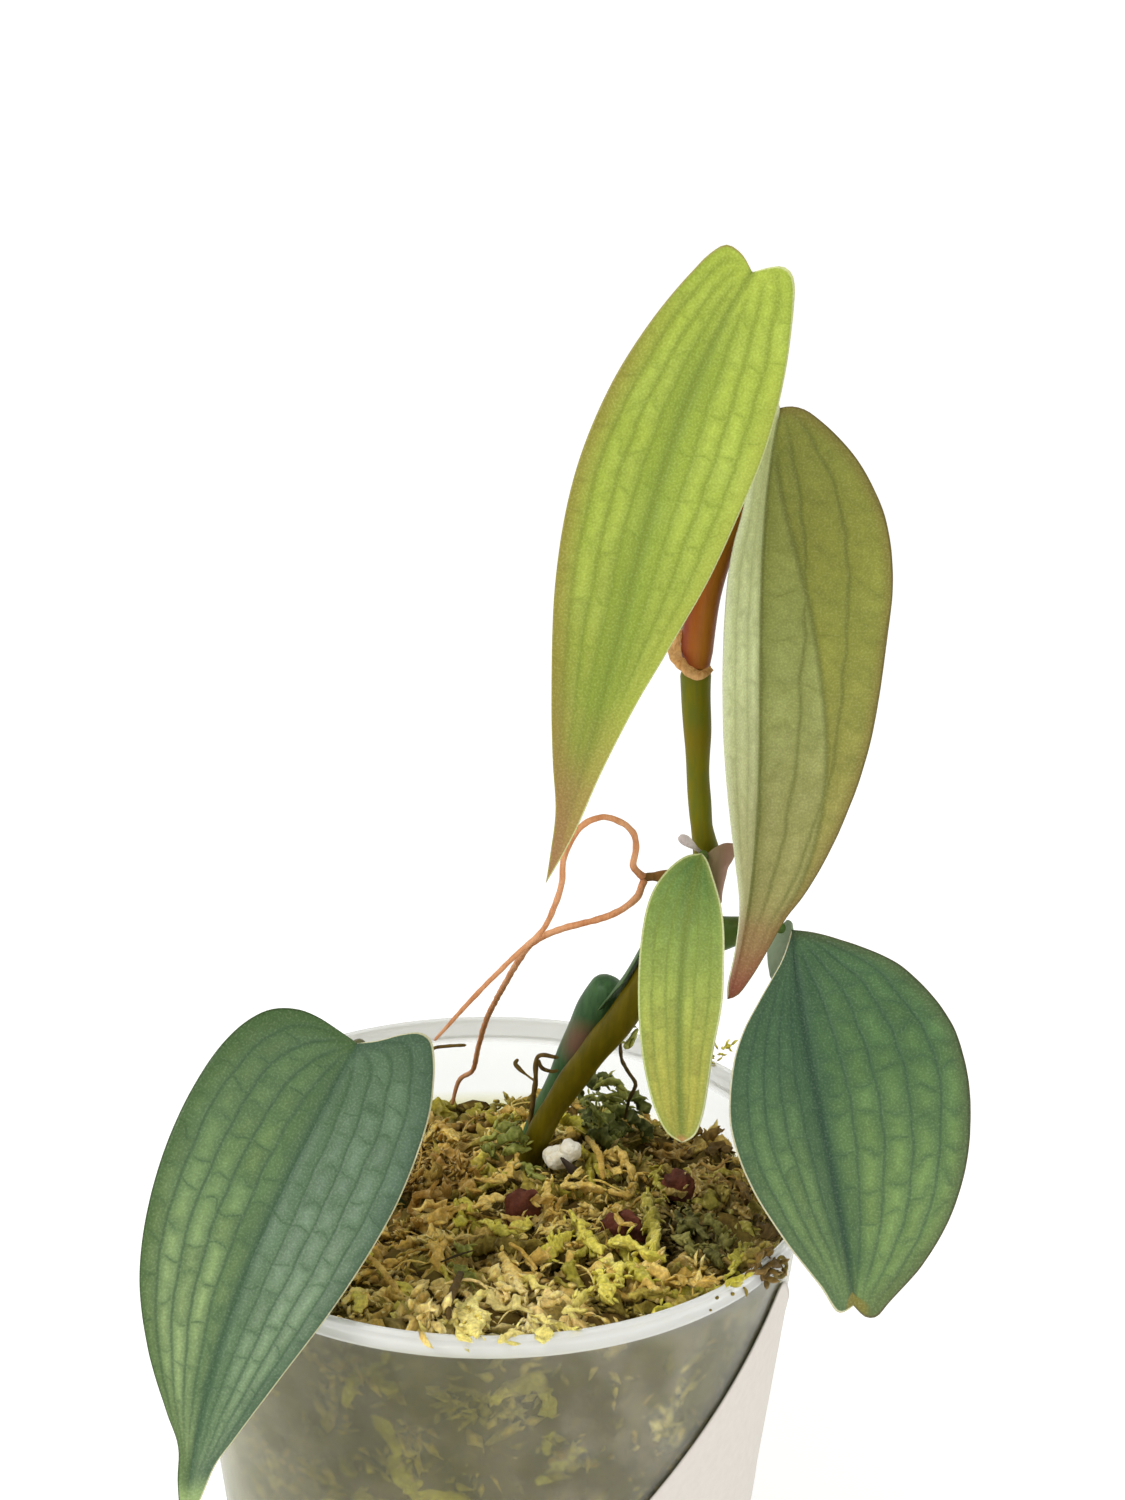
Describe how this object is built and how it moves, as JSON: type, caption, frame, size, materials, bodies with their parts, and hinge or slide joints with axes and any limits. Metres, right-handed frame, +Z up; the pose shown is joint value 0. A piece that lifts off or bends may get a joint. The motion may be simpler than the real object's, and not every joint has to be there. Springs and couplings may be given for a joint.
{
  "type": "potted philodendron",
  "caption": "Young climbing philodendron with long hanging leaves and aerial roots, rooted in moss in a round frosted nursery pot with a bare sticker.",
  "frame": {"origin": "middle of the flat underside of the pot, on the surface that it stands on", "axes": "+Z up along the pot's axis; -Y is the showing side, towards which the leaves hang; +X to the right of it"},
  "size_m": [0.1069, 0.1011, 0.2022],
  "materials": {
    "pot_plastic": "milky translucent polypropylene, satin",
    "label_paper": "plain paper sticker, matt, bare",
    "sphagnum": "dried sphagnum moss, straw to olive, matt",
    "green_moss": "living green moss, matt",
    "old_stem": "olive green-brown stem, satin",
    "young_stem": "olive stem, satin",
    "dark_stem": "dark green petiole, satin",
    "leaf_top": "young yellow-green leaf, velvety satin",
    "leaf_olive": "olive leaf, satin",
    "leaf_small": "green leaf with a cream margin, satin",
    "leaf_left": "blue-green leaf with dark cross veins, satin",
    "leaf_right": "dark green leaf, satin",
    "sheath_red": "red-brown petiole sheath, satin",
    "sheath_tan": "dried papery sheath, matt",
    "sheath_pink": "withering pinkish sheath, matt",
    "bract": "pale lilac-white bract, matt",
    "root_skin": "orange-tan aerial root, matt",
    "twig_bark": "dark dry twig, matt",
    "bark": "red-brown bark chip, matt",
    "perlite": "white perlite, matt"
  },
  "bodies": {
    "root": {"pot": "pot_plastic", "label": "label_paper", "moss_bed": "sphagnum", "lower_stem": "old_stem", "upper_stem": "young_stem", "old_petiole": "dark_stem", "old_sheath": "dark_stem", "petiole_top": "young_stem", "petiole_upper_right": "young_stem", "petiole_small": "young_stem", "petiole_left": "dark_stem", "petiole_right": "dark_stem", "leaf_top": "leaf_top", "leaf_upper_right": "leaf_olive", "leaf_small": "leaf_small", "leaf_left": "leaf_left", "leaf_right": "leaf_right", "red_sheath": "sheath_red", "dried_ring": "sheath_tan", "node_bract": "bract", "node_flap": "sheath_pink", "root_stub": "root_skin", "aerial_root_high": "root_skin", "aerial_root_low": "root_skin", "buried_root_front": "root_skin", "buried_root_left": "root_skin", "buried_root_back": "root_skin", "buried_root_right": "root_skin", "twig_bent": "twig_bark", "twig_small": "twig_bark", "twig_dark": "twig_bark", "perlite_grain": "perlite", "bark_chip_left": "bark", "bark_chip_middle": "bark", "bark_chip_right": "bark", "moss_clump": "green_moss"}
  },
  "joints": []
}
